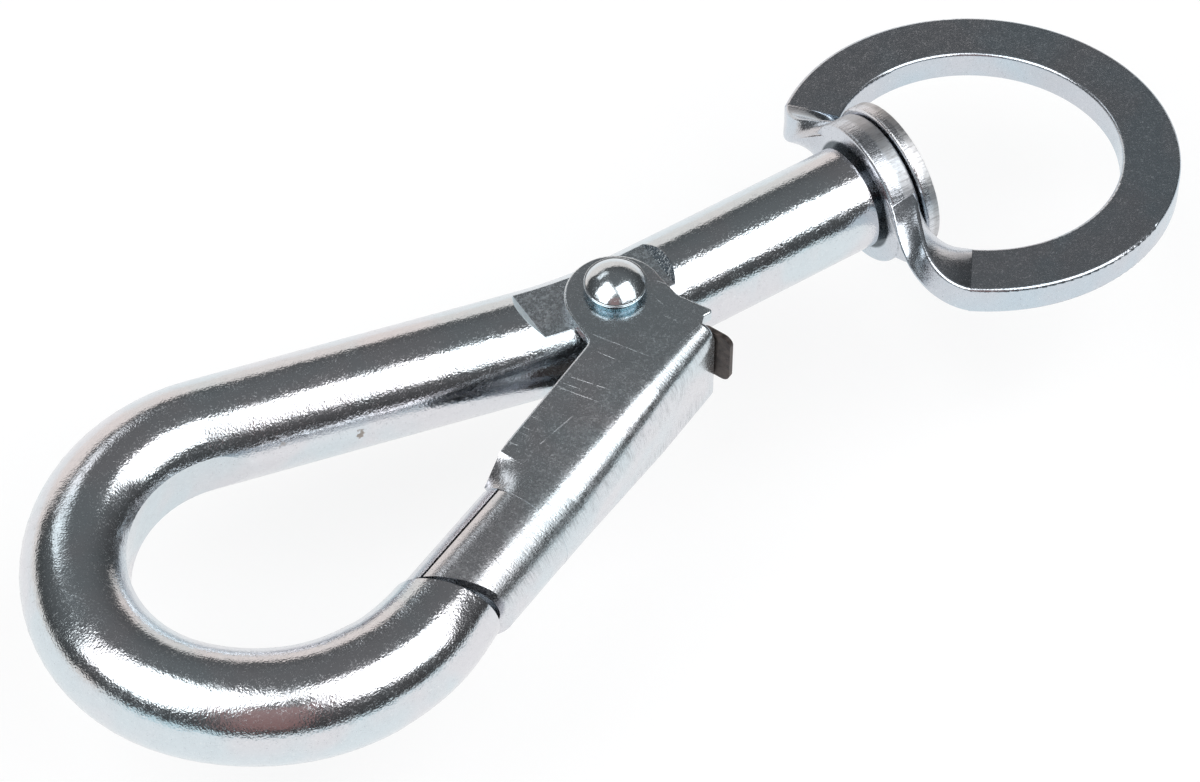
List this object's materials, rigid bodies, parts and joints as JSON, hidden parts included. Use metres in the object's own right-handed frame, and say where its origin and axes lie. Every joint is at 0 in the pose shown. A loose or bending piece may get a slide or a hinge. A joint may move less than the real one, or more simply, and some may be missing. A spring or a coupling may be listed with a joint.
{
  "type": "swivel snap hook",
  "caption": "Bent round-rod hook whose sprung sheet-metal gate opens inwards, with a stamped eye that swivels on the end of its shank.",
  "frame": {"origin": "the load seat: the lowest point of the inside of the bow, on the swivel axis and in the middle plane of the rod", "axes": "+X along the swivel axis towards the eye, +Z parallel to the gate's rivet, towards its domed head; the gate is on the -Y side"},
  "size_m": [0.1191, 0.0435, 0.015],
  "materials": {
    "hook_zinc": "zinc plated, smooth",
    "gate_zinc": "zinc plated, cross-brushed on the folded edge",
    "rivet_zinc": "zinc plated, smooth",
    "spring_steel": "blued spring steel",
    "eye_zinc": "zinc plated, tumbled",
    "washer_zinc": "zinc plated, sheared edge"
  },
  "bodies": {
    "hook": {"hook_body": "hook_zinc", "gate_rivet": "rivet_zinc", "swivel_washer": "washer_zinc"},
    "gate": {"gate": "gate_zinc", "gate_spring": "spring_steel"},
    "eye": {"swivel_eye": "eye_zinc"}
  },
  "joints": [
    {"name": "gate_hinge", "type": "hinge", "parent": "hook", "child": "gate", "pos_m": [0.0493, -0.00105, 0], "axis": [0, 0, -1], "range_deg": [0, 25], "stiffness_Nm_per_rad": 0.3, "springref_deg": -20.05, "deforming": ["gate_spring"]},
    {"name": "swivel_spin", "type": "hinge", "parent": "hook", "child": "eye", "pos_m": [0.07785, 0, 0], "axis": [1, 0, 0], "continuous": true}
  ]
}
